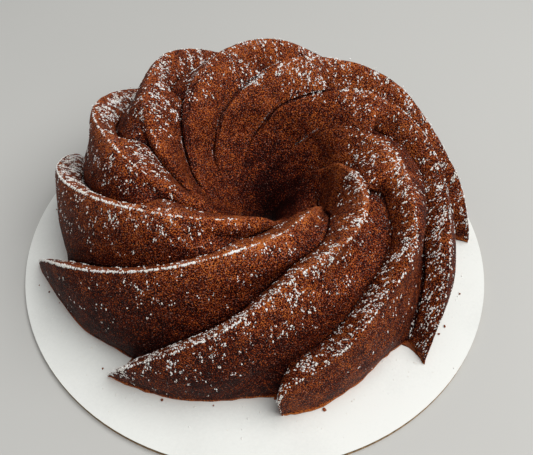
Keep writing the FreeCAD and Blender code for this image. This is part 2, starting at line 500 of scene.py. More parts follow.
def crease_beside(surface, inner, outer):
    """1 on a stepped blade's ledge beside its crest, falling to 0 between those distances."""
    beside = 1.0 - smooth_step(inner, outer, surface.to_crest)
    inside = window(STEP_CREASE_BETWEEN, surface.radius)
    return by_blade(surface, STEPPED) * beside * inside * ~surface.on_wall * surface.in_funnel


def cut_creases(surface):
    """Cuts the crease in each groove, and the one beside each stepped crest."""
    radius = surface.radius
    crevice = hump(surface.to_groove, 0.0, CREVICE_WIDTH) * smooth_step(*CREVICE_ABOVE, surface.along)
    shallow = mix(CREVICE_INSIDE, 1.0, smooth_step(*CREVICE_INSIDE_TO, radius))
    depth = CREVICE_DEPTH * by_groove(surface, CREVICE_SHARE) * smooth_step(*CREVICE_FROM, radius)
    crevice *= depth * shallow * creased(surface)
    beside = crease_beside(surface, *STEP_CREASE_REACH)
    beside *= smooth_step(*STEP_CREASE_STARTS, surface.to_crest)
    surface.push(-crevice - STEP_CREASE_DEPTH * beside)


def roughen(surface, bottom):
    """Raises the crust's lumps and its crumbly skirt, and sets the base down flat."""
    lumps = layered_bumps(surface.points, LUMPS) * MM
    surface.push(lumps * mix(LUMPS_ON_EDGE, 1.0, smooth_step(*EDGE_UP_TO, surface.along)))
    ragged = (1.0 - smooth_step(0.0, SKIRT_UP_TO, surface.height)) * (surface.along < SUMMIT)
    skirt = SKIRT_OUT + SKIRT_RAGGED * bumps(surface.points, SKIRT_TEETH, 12.5)
    level = np.zeros_like(surface.angle)
    outward = np.stack([np.cos(surface.angle), np.sin(surface.angle), level], axis=2)
    surface.points = surface.points + outward * (skirt * ragged * MM)[:, :, None]
    surface.points[:, :, 2] = np.maximum(surface.points[:, :, 2], bottom)
    surface.points[[0, -1], :, 2] = bottom


def make_surface(shape):
    surface = Surface(shape)
    draw_in_foot(surface)
    nudge_blades(surface, shape)
    calm_funnel(surface)
    surface.place()
    surface.measure_gaps()
    cut_creases(surface)
    roughen(surface, shape.bottom)
    return surface


# ---------------------------------------------------------------- mesh helpers

def new_piece(name, points, faces):
    mesh = bpy.data.meshes.new(name)
    mesh.from_pydata(points.tolist(), [], faces.tolist())
    mesh.shade_smooth()
    piece = bpy.data.objects.new(name, mesh)
    bpy.context.scene.collection.objects.link(piece)
    return piece


def write_attribute(piece, name, values):
    attribute = piece.data.attributes.new(name, "FLOAT", "POINT")
    attribute.data.foreach_set("value", np.ascontiguousarray(values, dtype=np.float32))


def ring_quads(rows, columns):
    """Quads of a grid of rows, closed round the ring."""
    row, column = np.meshgrid(np.arange(rows - 1), np.arange(columns), indexing="ij")
    after = (column + 1) % columns
    corners = [row * columns + column, row * columns + after,
               (row + 1) * columns + after, (row + 1) * columns + column]
    return np.stack(corners, axis=2).reshape(-1, 4)


UNDERSIDE_RINGS = 10
UNDERSIDE_FROM = 12 * MM
UNDERSIDE_TO = 92 * MM
# The tips are hooked, so the rings run ahead of them to stay inside the base edge.
UNDERSIDE_LEAD = radians(10)
TORN_DEPTH = 0.25 * MM
TORN_SIZE = 5 * MM


def underside_loops(surface):
    """Rings of points from the hole to the base edge, a little uneven where the crumb tore."""
    share = np.linspace(0.0, 1.0, UNDERSIDE_RINGS)[:, None]
    columns = surface.radius.shape[1]
    radius = mix(UNDERSIDE_FROM, UNDERSIDE_TO, share) * np.ones(columns)
    even = surface.angle[0, 0] + UNDERSIDE_LEAD + 2 * pi * np.arange(columns) / columns
    angle = mix(surface.angle[-1], even, share)
    level = np.zeros(radius.shape)
    loops = surface.centre + np.stack([radius * np.cos(angle), radius * np.sin(angle), level], axis=2)
    loops[:, :, 2] += TORN_DEPTH * (1.0 + bumps(loops, TORN_SIZE, 2.2))
    return loops


def build_crust(shape):
    """The closed crust mesh, with its baked tone, painted light and shade, and dust written on its points."""
    surface = make_surface(shape)
    rows, columns = surface.radius.shape
    loops = underside_loops(surface)
    points = np.concatenate([surface.points, loops, surface.points[:1]]).reshape(-1, 3)
    faces = ring_quads(rows + UNDERSIDE_RINGS + 1, columns)
    last_ring = (rows + UNDERSIDE_RINGS) * columns
    faces = np.where(faces >= last_ring, faces - last_ring, faces)
    crust = new_piece("cake_crust", points[:last_ring], faces)
    bottom = np.zeros(len(faces), dtype=np.int32)
    bottom[(rows - 1) * columns:] = 1
    crust.data.polygons.foreach_set("material_index", bottom)
    for name, grid in crust_marks(surface).items():
        write_attribute(crust, name, np.concatenate([grid, np.zeros(loops.shape[:2])]).ravel())
    return crust, surface


# Painted shade along the crease in each groove: its width, and the radii over which it starts in the hole.
CREASE_SHADE_WIDTH = 1.1 * MM
CREASE_SHADE_FROM = mm(28, 38)
# Painted shade on a stepped blade: over the foot of its wall, and in a line on its ledge beside the crest.
STEP_SHADE_REACH = 0.9 * MM
STEP_SHADE_BETWEEN = mm(30, 40, 54, 60)
STEP_SHADE_LINE_REACH = mm(1.2, 2.6)


def painted_crease_shade(surface):
    """How much painted shade darkens the crust in its grooves and on and beside the steps."""
    crease_shade = hump(surface.to_groove, 0.0, CREASE_SHADE_WIDTH) * smooth_step(*CREASE_SHADE_FROM, surface.radius)
    crease_shade *= creased(surface)
    step = by_groove(surface, STEPPED) * (surface.on_wall | (surface.to_groove < STEP_SHADE_REACH))
    step *= window(STEP_SHADE_BETWEEN, surface.radius) * surface.in_funnel
    return np.maximum(crease_shade, np.maximum(step, crease_beside(surface, *STEP_SHADE_LINE_REACH)))


# How well the crust baked: its plain level, and how much lighter each blade is than the rest.
PLAIN_BAKE = 0.53
LIGHTER = (0.02, 0.0, 0.0, -0.02, 0.05, 0.0, -0.06, -0.04, 0.0)
# Butter browns the crests, and a painted highlight lies on them where light catches them: how
# strongly on each blade, at the top and then near the tip, and how far down each wall and ledge it
# reaches, in millimetres.
BROWNED_AND_LIT = (1.1, 1.0, 0.8, 0.4, 0.2, 0.2, 0.3, 0.6, 0.8)
BROWNED_AND_LIT_TOP = 0.27
BROWNED_AND_LIT_RIM = (0.06, 0.06, 0.06, 0.06, 0.10, 0.16, 0.22, 0.26, 0.08)
RIM_FROM = mm(66, 106)
BROWNED_AND_LIT_OVER = (13.0, 7.0, 2.0, 3.0, 8.0, 8.0, 8.0, 8.0, 8.0)
BROWNED_AND_LIT_LEDGE = 4.0
# Painted shade on the walls, which face away from the light: each blade's near the top and near
# the foot.
WALL_SHADE_HIGH = (0.07, 0.02, 0.17, 0.06, 0.05, 0.05, 0.05, 0.02, 0.02)
WALL_SHADE_LOW = (0.28, 0.17, -0.03, 0.14, 0.24, 0.24, 0.24, 0.20, 0.10)
WALL_SHADE_LOW_FROM = mm(84, 112)
WALL_FROM = mm(48, 60)
# Painted shade deep in the hole, where little light reaches, heaviest on one side.
HOLE_SHADE_STRENGTH = 0.26
HOLE_SHADE_UP_TO = mm(14, 44)
SHADIEST_SIDE = radians(10)
ALL_ROUND, ON_SHADIEST_SIDE = 1.2, 0.6
# The crust is darker low on the ring, and painted shade darkens it away from crests, beside grooves
# and a little in the whole funnel.
LOW_DARKER = 0.10
LOW_UP_TO = mm(2, 52)
FALLEN_DARKER = 0.13
FALLEN_FROM = mm(40, 56)
BY_GROOVE_DARKER = 0.08
BY_GROOVE_REACH = 5 * MM
BY_GROOVE_FROM = mm(40, 52)
FUNNEL_DARKER = 0.02
# Painted light: it is lighter where it faces up, on the outside and again at the very top.
UPWARD_LIGHTER = 0.04
UPWARD_FROM = mm(46, 70)
TOP_LIGHTER = 0.04
TOP_FROM = mm(60, 70)


def baking_and_light(surface):
    """How the crust baked over the grid, with painted light and shade added, from 0 for burnt to 1 for
    golden.
    """
    radius = surface.radius
    upward = surface.upward()
    # Painted shade deep in the hole, heaviest on one side.
    side = ALL_ROUND + ON_SHADIEST_SIDE * np.cos(surface.angle - SHADIEST_SIDE)
    hole_shade = (1.0 - smooth_step(*HOLE_SHADE_UP_TO, radius)) * side
    # Browning along the crests, with a painted highlight on them.
    reach = np.where(surface.on_wall, by_blade(surface, BROWNED_AND_LIT_OVER), BROWNED_AND_LIT_LEDGE) * MM
    browning_and_light = mix(BROWNED_AND_LIT_TOP, by_blade(surface, BROWNED_AND_LIT_RIM), smooth_step(*RIM_FROM, radius))
    browned_and_lit = np.exp(-surface.to_crest / reach) * by_blade(surface, BROWNED_AND_LIT) * browning_and_light * (1.0 - hole_shade)
    bake_and_light = PLAIN_BAKE + browned_and_lit - HOLE_SHADE_STRENGTH * hole_shade
    # Painted light on what faces up.
    bake_and_light += UPWARD_LIGHTER * upward * smooth_step(*UPWARD_FROM, radius)
    low = 1.0 - smooth_step(*LOW_UP_TO, surface.height)
    on_outside = smooth_step(*WALL_FROM, radius)
    near_foot = smooth_step(*WALL_SHADE_LOW_FROM, radius)
    # Painted shade on the walls.
    wall_shade = mix(by_blade(surface, WALL_SHADE_HIGH), by_blade(surface, WALL_SHADE_LOW), near_foot)
    # Painted shade in the valleys away from the crests.
    fallen = FALLEN_DARKER * (1.0 - surface.crest) * smooth_step(*FALLEN_FROM, radius)
    bake_and_light -= LOW_DARKER * low * on_outside + (wall_shade * on_outside + fallen) * surface.on_wall
    # Painted shade beside each groove.
    by_groove_line = np.exp(-surface.to_groove / BY_GROOVE_REACH)
    bake_and_light -= BY_GROOVE_DARKER * by_groove_line * smooth_step(*BY_GROOVE_FROM, radius)
    # Painted light at the very top.
    bake_and_light += TOP_LIGHTER * smooth_step(0.0, 1.0, upward) * smooth_step(*TOP_FROM, surface.height)
    return bake_and_light + (by_blade(surface, LIGHTER) - FUNNEL_DARKER * surface.in_funnel)


# Fine sugar dust: how much lies everywhere, how much more on what faces up, and the level and
# size of its drifts.
DUST_EVERYWHERE = 0.10
DUST_ON_TOP = 0.5
DUST_FROM = mm(34, 70)
DRIFT_LEVEL = 0.5
DRIFT_SIZE = 8 * MM
# A thin pale line lies beside each groove inside the ring, where the pan's parts meet, broken into
# patches: partly dried sugar and partly a painted highlight on the groove's edge. One more lies on
# the outside of one blade. Each has a distance from the groove and a width, a strength and radii
# where it runs.
SUGAR_GLINT_LINE = mm(2.3, 0.4)
SUGAR_GLINT_STRENGTH = 1.6
SUGAR_GLINT_FROM = mm(26, 34)
SUGAR_GLINT_PATCH_LEVEL = 0.6
SUGAR_GLINT_PATCH_SIZE = 6 * MM
OUTER_LINE_BLADE = 2
OUTER_LINE = mm(0.9, 0.5)
OUTER_LINE_STRENGTH = 1.5
OUTER_LINE_BETWEEN = mm(80, 86, 98, 104)


def dusting(surface):
    """How thickly fine dust and dried sugar lie over the grid, with a painted highlight beside the grooves.
    """
    to_groove, radius = surface.to_groove, surface.radius
    dust = (DUST_EVERYWHERE + DUST_ON_TOP * surface.upward()) * smooth_step(*DUST_FROM, radius)
    dust = dust * np.clip(DRIFT_LEVEL + bumps(surface.points, DRIFT_SIZE, 31.0), 0.0, 1.0)
    # A pale line beside each groove: dried sugar with a painted highlight.
    sugar_glint = hump(to_groove, *SUGAR_GLINT_LINE) * ~surface.on_wall * surface.in_funnel
    sugar_glint = SUGAR_GLINT_STRENGTH * sugar_glint * smooth_step(*SUGAR_GLINT_FROM, radius)
    dust += sugar_glint * (SUGAR_GLINT_PATCH_LEVEL + bumps(surface.points, SUGAR_GLINT_PATCH_SIZE, 44.0))
    line = hump(to_groove, *OUTER_LINE) * surface.on_wall * (surface.blade == OUTER_LINE_BLADE)
    return dust + OUTER_LINE_STRENGTH * line * window(OUTER_LINE_BETWEEN, radius)


def crust_marks(surface):
    """How the crust's look varies over the grid."""
    return {"bake_and_light": baking_and_light(surface), "crease_shade": painted_crease_shade(surface), "dust": dusting(surface)}


# ---------------------------------------------------------------- materials

# A Mix node's sockets for colours share their names with its other ones, so they go by number.
MIX_A, MIX_B, MIX_OUT = 6, 7, 2


def plug(tree, node, sockets):
    """Sets each of a node's sockets to a value, or links it to an output."""
    for socket, value in sockets.items():
        if isinstance(value, bpy.types.NodeSocket):
            tree.links.new(value, node.inputs[socket])
        else:
            node.inputs[socket].default_value = value


def add(tree, kind, sockets, **settings):
    """Adds a node with its own settings and its sockets' values and links."""
    node = tree.nodes.new("ShaderNode" + kind)
    for name, value in settings.items():
        setattr(node, name, value)
    plug(tree, node, sockets)
    return node


def new_material(name, **constants):
    """A node material with one Principled shader, whose own sockets hold its constants."""
    material = bpy.data.materials.new(name)
    material.use_nodes = True
    tree = material.node_tree
    shader = tree.nodes["Principled BSDF"]
    plug(tree, shader, {socket.replace("_", " "): value for socket, value in constants.items()})
    place = add(tree, "TexCoord", {}).outputs["Object"]
    return material, tree, shader, place


def ramp(tree, value, stops):
    """A colour ramp through stops of (place, colour)."""
    node = add(tree, "ValToRGB", {"Fac": value})
    elements = node.color_ramp.elements
    elements[0].position, elements[1].position = stops[0][0], stops[-1][0]
    elements[0].color, elements[1].color = (*stops[0][1], 1.0), (*stops[-1][1], 1.0)
    for place, shade in stops[1:-1]:
        elements.new(place).color = (*shade, 1.0)
    return node.outputs["Color"]


def weighted_sum(tree, start, *terms):
    """start plus each (output, weight) in turn."""
    total = start
    for value, weight in terms:
        total = add(tree, "Math", {0: value, 1: weight, 2: total}, operation="MULTIPLY_ADD").outputs[0]
    return total


def crust_material(finish, shape):
    """Chocolate sponge crust, baked against a buttered metal pan.

    Fine dark pores and grains break up a red-brown that turns orange on the crests, from browning
    and a painted highlight, and on the thin rim at the base. Painted shade darkens it in the hole and
    on the walls and turns it nearly black in the creases. Pale specks, partly dried fat and sugar and
    partly painted glints of its sheen, and specks of sugar dust lie on its grains, and the buttered
    crust keeps a soft sheen."""
    material, tree, shader, place = new_material("baked_chocolate_crust", IOR=1.45,
                                                 Specular_IOR_Level=0.05)
    grain = add(tree, "TexNoise", {"Vector": place, "Scale": 1 / finish.grain, "Detail": 0.5,
                                   "Roughness": 0.6}).outputs["Fac"]
    pores = add(tree, "TexVoronoi", {"Vector": place, "Scale": 1 / finish.pore}).outputs["Distance"]
    pits = add(tree, "MapRange", {"Value": pores, "From Min": 0.38, "From Max": 0.1}).outputs[0]
    patches = add(tree, "TexNoise", {"Vector": place, "Scale": 1 / (7 * MM), "Detail": 4.0,
                                     "Roughness": 0.62}).outputs["Fac"]
    # The baked tone with its painted light and shade, the painted crease shade and the sugar dust.
    bake_and_light, crease_shade, dust = (add(tree, "Attribute", {}, attribute_name=name).outputs["Fac"]
                        for name in ("bake_and_light", "crease_shade", "dust"))
    height = add(tree, "SeparateXYZ", {0: place}).outputs["Z"]
    rim = add(tree, "MapRange", {"Value": height, "From Min": shape.bottom + 2.6 * MM,
                                 "From Max": shape.bottom + 0.4 * MM}).outputs[0]
    # Painted shade in the creases darkens the tone.
    tone = weighted_sum(tree, -2.18, (grain, 2.7), (pores, 0.30), (pits, -0.35), (patches, 1.15),
                        (bake_and_light, 1.0), (crease_shade, -0.42), (rim, 0.76))
    baked = ramp(tree, tone, [(0.0, finish.crust_burnt), (0.27, finish.crust_dark), (0.5, finish.crust_mid),
                              (0.76, finish.crust_light), (1.0, finish.crust_gold)])
    # Pale specks on the grains, partly bloom and partly painted glints of sheen, more on lighter crust.
    bloom_and_glint = add(tree, "TexNoise", {"Vector": place, "Scale": 1 / finish.bloom_and_glint_size,
                                   "Detail": 0.0}).outputs["Fac"]
    haze = weighted_sum(tree, -2.0, (bloom_and_glint, 2.8), (bake_and_light, 0.5))
    powder = add(tree, "TexNoise", {"Vector": place, "Scale": 1 / finish.dust, "Detail": 1.0}).outputs["Fac"]
    amount = weighted_sum(tree, -3.5, (powder, 4.6), (dust, 1.1))
    surface = baked
    for share, pale in ((haze, finish.bloom_and_glint), (amount, finish.sugar)):
        surface = add(tree, "Mix", {0: share, MIX_A: surface, MIX_B: (*pale, 1.0)},
                      data_type="RGBA", clamp_factor=True).outputs[MIX_OUT]
    sheen = add(tree, "MapRange", {"Value": grain, "From Min": 0.3, "From Max": 0.7, "To Min": 0.45,
                                   "To Max": 0.7}).outputs[0]
    coarse = add(tree, "Bump", {"Strength": 0.8, "Distance": 0.35 * MM, "Height": pores})
    fine = add(tree, "Bump", {"Strength": 1.0, "Distance": 0.5 * MM, "Height": grain,
                              "Normal": coarse.outputs[0]})
    plug(tree, shader, {"Base Color": surface, "Roughness": sheen, "Normal": fine.outputs[0]})
    return material


def crumb_material(finish):
    """Torn sponge crumb: open cells with no crust, matt and a shade lighter."""
    material, tree, shader, place = new_material("torn_sponge_crumb", Roughness=0.85, IOR=1.4)
    cells = add(tree, "TexVoronoi", {"Vector": place, "Scale": 1 / (2.4 * MM)}).outputs["Distance"]
    grain = add(tree, "TexNoise", {"Vector": place, "Scale": 1 / finish.grain, "Detail": 3.0}).outputs["Fac"]
    tone = weighted_sum(tree, -0.1, (cells, 0.6), (grain, 0.7))
    shade = ramp(tree, tone, [(0.05, finish.crust_dark), (0.5, finish.crumb), (0.9, finish.crust_light)])
    bump = add(tree, "Bump", {"Strength": 1.0, "Distance": 0.8 * MM, "Height": tone})
    plug(tree, shader, {"Base Color": shade, "Normal": bump.outputs[0]})
    return material


# What is left of each channel of the sugar's white where it has turned cream.
CREAM_SHARES = (0.95, 0.92, 0.86)


def sugar_material(finish):
    """Sifted icing sugar: a matt white powder in soft clumps, faintly cream where it has drawn fat."""
    material, tree, shader, place = new_material("sifted_icing_sugar", Roughness=0.9, IOR=1.4)
    damp = add(tree, "TexNoise", {"Vector": place, "Scale": 1 / (7 * MM), "Detail": 2.0}).outputs["Fac"]
    cream = [channel * share for channel, share in zip(finish.sugar, CREAM_SHARES)]
    shade = ramp(tree, damp, [(0.35, cream), (0.6, finish.sugar)])
    powder = add(tree, "TexNoise", {"Vector": place, "Scale": 1 / (0.4 * MM)}).outputs["Fac"]
    bump = add(tree, "Bump", {"Strength": 0.6, "Distance": 0.1 * MM, "Height": powder})
    plug(tree, shader, {"Base Color": shade, "Normal": bump.outputs[0]})
    return material


def darker_tone(colour, share):
    """A colour darkened to a share of itself."""
    return [channel * share for channel in colour]


def coated_paper_material(finish):
    """White clay-coated paper with a greaseproof skin: nearly smooth and softly glossy, with the
    faint cloudiness of pressed fibres."""
    material, tree, shader, place = new_material("clay_coated_white_paper", IOR=1.5)
    fibres = add(tree, "TexNoise", {"Vector": place, "Scale": 1 / (1.2 * MM), "Detail": 4.0}).outputs["Fac"]
    cloud = add(tree, "TexNoise", {"Vector": place, "Scale": 1 / (38 * MM), "Detail": 2.0}).outputs["Fac"]
    tone = weighted_sum(tree, 0.0, (fibres, 0.35), (cloud, 0.65))
    shade = ramp(tree, tone, [(0.3, darker_tone(finish.board_white, 0.93)), (0.55, finish.board_white)])
    gloss = add(tree, "MapRange", {"Value": fibres, "To Min": 0.34, "To Max": 0.5}).outputs[0]
    bump = add(tree, "Bump", {"Strength": 0.25, "Distance": 0.05 * MM, "Height": fibres})
    plug(tree, shader, {"Base Color": shade, "Roughness": gloss, "Normal": bump.outputs[0]})
    return material


def kraft_material(finish, name, fibre_length, stretch):
    """Unbleached kraft paper: matt brown, with darker fibres lying mostly one way."""
    material, tree, shader, place = new_material(name, Roughness=0.8, IOR=1.5)
    lying = add(tree, "Mapping", {"Vector": place, "Scale": stretch}).outputs[0]
    fibres = add(tree, "TexNoise", {"Vector": lying, "Scale": 1 / fibre_length, "Detail": 5.0,
                                    "Roughness": 0.7}).outputs["Fac"]
    shade = ramp(tree, fibres, [(0.3, darker_tone(finish.board_kraft, 0.55)), (0.5, finish.board_kraft)])
    bump = add(tree, "Bump", {"Strength": 0.5, "Distance": 0.06 * MM, "Height": fibres})
    plug(tree, shader, {"Base Color": shade, "Normal": bump.outputs[0]})
    return material


def floor_material(studio):
    """Matt painted board: plain and pale, with the faintest unevenness."""
    material, tree, shader, place = new_material("matt_painted_floor", Roughness=0.75)
    cloud = add(tree, "TexNoise", {"Vector": place, "Scale": 1 / (250 * MM)}).outputs["Fac"]
    shade = ramp(tree, cloud, [(0.3, darker_tone(studio.floor, 0.97)), (0.7, studio.floor)])
    plug(tree, shader, {"Base Color": shade})
    return material


# ---------------------------------------------------------------- icing sugar and crumbs

# A ball of twenty faces with a radius of 1 has sides a little shorter than this.
LONGEST_SIDE = 1.06


def grain_form():
    """Corners and faces of a ball of twenty faces."""
    golden = (1 + 5 ** 0.5) / 2
    corners = []
    for first in (-1.0, 1.0):
        for second in (-golden, golden):
            corners += [(0.0, first, second), (first, second, 0.0), (second, 0.0, first)]
    corners = np.array(corners)
    corners /= np.linalg.norm(corners[0])
    faces = []
    for a, b, c in combinations(range(len(corners)), 3):
        sides = [np.linalg.norm(corners[i] - corners[j]) for i, j in ((a, b), (b, c), (a, c))]
        if max(sides) < LONGEST_SIDE:
            outward = np.dot(np.cross(corners[b] - corners[a], corners[c] - corners[a]), corners[a])
            faces.append((a, b, c) if outward > 0 else (a, c, b))
    return corners, np.array(faces)


def random_turns(rng, total):
    """Random rotation matrices."""
    quaternions = rng.normal(size=(total, 4))
    quaternions /= np.linalg.norm(quaternions, axis=1, keepdims=True)
    w, x, y, z = quaternions.T
    rows = [[1 - 2 * (y * y + z * z), 2 * (x * y - z * w), 2 * (x * z + y * w)],
            [2 * (x * y + z * w), 1 - 2 * (x * x + z * z), 2 * (y * z - x * w)],
            [2 * (x * z - y * w), 2 * (y * z + x * w), 1 - 2 * (x * x + y * y)]]
    return np.array(rows).transpose(2, 0, 1)


# Level ground has no way down, so all of it leans by this much.
LEAN = np.array([1e-4, 0.0, 0.0])


def downhill(normals):
    """The steepest way down along the surface, and the level way across it."""
    across = np.cross(normals, (0.0, 0.0, 1.0)) + LEAN
    across /= np.linalg.norm(across, axis=1, keepdims=True)
    return np.cross(across, normals), across


def stretched(bodies, direction, factor):
    """Bodies drawn out along a direction, or flattened with a factor below 1."""
    reach = np.einsum("gcx,gx->gc", bodies, direction)
    return bodies + (reach * (factor - 1.0))[:, :, None] * direction[:, None, :]


# How far a grain's corners stand from its middle, as shares of its size, and how flat it is
# pressed on the surface.
DENTS = (0.6, 1.3)
PRESSED = 0.65


def grains(name, places, normals, sizes, streak, rng):
    """One mesh of loose grains, each a dented ball drawn out downhill and pressed on the surface."""
    corners, faces = grain_form()
    total = len(places)
    dents = rng.uniform(*DENTS, (total, len(corners), 1))
    bodies = (corners[None] @ random_turns(rng, total)) * dents * sizes[:, None, None]
    way_down = downhill(normals)[0]
    bodies = stretched(bodies, way_down, 1.0 + rng.uniform(0.0, streak, (total, 1)))
    bodies = stretched(bodies, normals, PRESSED)
    points = (bodies + places[:, None, :]).reshape(-1, 3)
    index = faces[None] + (np.arange(total) * len(corners))[:, None, None]
    return new_piece(name, points, index.reshape(-1, 3))


def cell_areas(points):
    """Area of each grid cell from its two diagonals."""
    after = np.roll(points, -1, axis=1)
    first = after[1:] - points[:-1]
    second = after[:-1] - points[1:]
    return 0.5 * np.linalg.norm(np.cross(first, second), axis=2)


def scatter(surface, density, total, rng):
    """Places and normals of a number of spots, drawn by density over the grid's cells."""
    weight = (density[:-1] * cell_areas(surface.points)).ravel()
    picked = rng.choice(len(weight), size=total, p=weight / weight.sum())
    row, column = np.divmod(picked, surface.radius.shape[1])
    after = (column + 1) % surface.radius.shape[1]
    down = rng.random((total, 1))
    side = rng.random((total, 1))

    def between(grid):
        return mix(mix(grid[row, column], grid[row, after], side),
                   mix(grid[row + 1, column], grid[row + 1, after], side), down)

    return between(surface.points), between(surface.normals())


def clusters(surface, density, total, mean_size, spread, streak, rng):
    """Places and normals of grains that lie in loose clusters, drawn out downhill."""
    places, normals = scatter(surface, density, total, rng)
    members = 1 + rng.poisson(mean_size - 1.0, total)
    places = np.repeat(places, members, axis=0)
    normals = np.repeat(normals, members, axis=0)
    way_down, across = downhill(normals)
    offsets = rng.normal(0.0, spread, (len(places), 2))
    return places + offsets[:, :1] * streak * way_down + offsets[:, 1:] * across, normals


# How much sugar each blade holds: in a thin line on its crest, in a band beside the crest, and
# how many times that inside the ring, heaped near its tip, scattered over its ledge, and in
# flecks on its wall. A tip below 0 holds less than its ledge.
CREST_SUGAR = (0.9, 0.25, 0.15, 0.1, 0.05, 0.05, 0.1, 0.5, 0.9)
BAND_SUGAR = (0.0, 0.24, 0.15, 0.2, 0.55, 0.4, 0.3, 0.2, 0.1)
BAND_INSIDE = (0.2, 1.5, 0.6, 2.0, 0.6, 0.5, 0.3, 0.2, 0.2)
TIP_SUGAR = (0.1, 0.4, 0.1, 0.4, -0.25, 0.0, 0.5, 1.2, 0.7)
LEDGE_SUGAR = (0.3, 0.35, 0.75, 0.32, 0.95, 0.5, 0.95, 0.75, 0.35)
WALL_SUGAR = (0.22, 0.7, 0.15, 0.5, 0.6, 0.8, 0.6, 0.8, 0.6)
# How far each band reaches down the wall, and how far from the crest the ledge's sugar keeps, in
# millimetres. It is whole at a multiple of that.
BAND_ON_WALL = (1.0, 8.0, 0.8, 2.0, 2.0, 2.0, 2.0, 1.2, 1.0)
LEDGE_INSET = (1.2, 1.2, 1.2, 1.2, 1.5, 1.5, 2.5, 3.2, 1.2)
INSET_WHOLE = 2.2
LINE_WIDTH = 0.32 * MM
BAND_ON_LEDGE = 4.5 * MM
TIPS_HEAPED = 3.0
# One blade's crest lost its line of sugar near the tip.
BARE_TIP_BLADE = 7
BARE_TIP_FROM = mm(84, 94)
# The radii over which each sugar starts, and what is left of the line inside the ring.
LINE_INSIDE = 0.3
LINE_INSIDE_TO = mm(60, 76)
LINE_FROM = mm(40, 48)
BAND_INSIDE_TO = mm(66, 80)
BAND_FROM = mm(38, 48)
SPRINKLED_FROM = mm(38, 60)
TIPS_FROM = mm(80, 104)
# Flecks keep off the groove and the crest of a wall, and a few cling where it is upright.
FLECKS_UPRIGHT = 0.1
FLECKS_ABOVE = (0.15, 0.5)
FLECKS_BELOW = mm(2, 6)
# Sugar starts above the foot, and none lies beyond this share of the way over the ring.
SUGAR_ABOVE = (0.015, 0.04)
SUGAR_UP_TO = 0.62
# Sifted sugar falls in patches, each layer a (strength, size, seed) on a level.
PATCH_LEVEL = 0.45
PATCHES = ((0.6, 7 * MM, 21.0), (0.6, 2.6 * MM, 7.0))
# What lies between the patches on a crest, and how sharply the patches end elsewhere.
LINE_BETWEEN_PATCHES = 0.3
BAND_PATCHY, LEDGE_PATCHY, WALL_PATCHY = 2, 1.5, 3


def sugar_densities(surface):
    """Relative density of the crest lines, the bands, the ledges' sprinkling and the walls' flecks."""
    radius, to_crest = surface.radius, surface.to_crest
    upward = surface.upward()
    patch = np.clip(layered_bumps(surface.points, PATCHES, PATCH_LEVEL), 0.0, 1.0)
    sugared = smooth_step(*SUGAR_ABOVE, surface.along) * (surface.along < SUGAR_UP_TO)
    line = hump(to_crest, 0.0, LINE_WIDTH) * by_blade(surface, CREST_SUGAR)
    line *= 1.0 - (surface.blade == BARE_TIP_BLADE) * smooth_step(*BARE_TIP_FROM, radius)
    line *= mix(LINE_INSIDE, 1.0, smooth_step(*LINE_INSIDE_TO, radius)) * smooth_step(*LINE_FROM, radius)
    width = np.where(surface.on_wall, by_blade(surface, BAND_ON_WALL) * MM, BAND_ON_LEDGE)
    band = hump(to_crest, 0.0, width) * by_blade(surface, BAND_SUGAR)
    inside = mix(by_blade(surface, BAND_INSIDE), 1.0, smooth_step(*BAND_INSIDE_TO, radius))
    band *= inside * smooth_step(*BAND_FROM, radius)
    sprinkled = smooth_step(*SPRINKLED_FROM, radius)
    ledge = by_blade(surface, LEDGE_SUGAR) * sprinkled
    ledge += TIPS_HEAPED * by_blade(surface, TIP_SUGAR) * smooth_step(*TIPS_FROM, radius)
    inset = by_blade(surface, LEDGE_INSET) * MM
    ledge *= upward * smooth_step(inset, INSET_WHOLE * inset, to_crest) * ~surface.on_wall
    wall = by_blade(surface, WALL_SUGAR) * (FLECKS_UPRIGHT + upward) * sprinkled
    wall *= surface.on_wall * smooth_step(*FLECKS_ABOVE, surface.crest) * smooth_step(*FLECKS_BELOW, to_crest)
    patchy = ((line, LINE_BETWEEN_PATCHES + patch), (band, patch ** BAND_PATCHY),
              (ledge, patch ** LEDGE_PATCHY), (wall, patch ** WALL_PATCHY))
    return [density * patches * sugared for density, patches in patchy]


# Icing sugar is too fine to see grain by grain, so each grain made here is a small clump of it.
# A piece of sugar has a name, a number of clusters, the mean number of grains in a cluster, how
# far they lie apart, how many times further downhill, and their size.
SUGARS = (
    ("sugar_on_crests", 2300, 3.0, 0.16 * MM, 1.2, 0.19 * MM),
    ("sugar_beside_crests", 950, 3.6, 0.42 * MM, 2.8, 0.24 * MM),
    ("sugar_on_ledges", 3400, 2.8, 0.34 * MM, 2.8, 0.24 * MM),
    ("sugar_on_walls", 1900, 2.2, 0.28 * MM, 2.8, 0.21 * MM),
)
SUGAR_SEED = 11
# How unlike the grains are in size and where the largest are capped, how far out of the surface
# a grain's middle stands as a share of its size, and how far it is drawn out downhill.
SIZE_SPREAD = 0.42
SIZE_CAP = 0.6
GRAIN_STANDS = 0.2
GRAIN_DRAWN_OUT = 1.2


def apply_sugar(surface):
    rng = np.random.default_rng(SUGAR_SEED)
    pieces = []
    for (name, total, members, spread, streak, size), density in zip(SUGARS, sugar_densities(surface)):
        places, normals = clusters(surface, density, total, members, spread, streak, rng)
        sizes = size * np.exp(np.minimum(rng.normal(0.0, SIZE_SPREAD, len(places)), SIZE_CAP))
        stands = normals * sizes[:, None] * GRAIN_STANDS
        pieces.append(grains(name, places + stands, normals, sizes, GRAIN_DRAWN_OUT, rng))
    return pieces


# Dust and crumbs on the board lie this far from the cake at least, and this much further on
# average, but not on the board's very edge.
DUST_GAP = 0.6 * MM
DUST_REACH = 7 * MM
EDGE_KEPT_CLEAR = 1 * MM


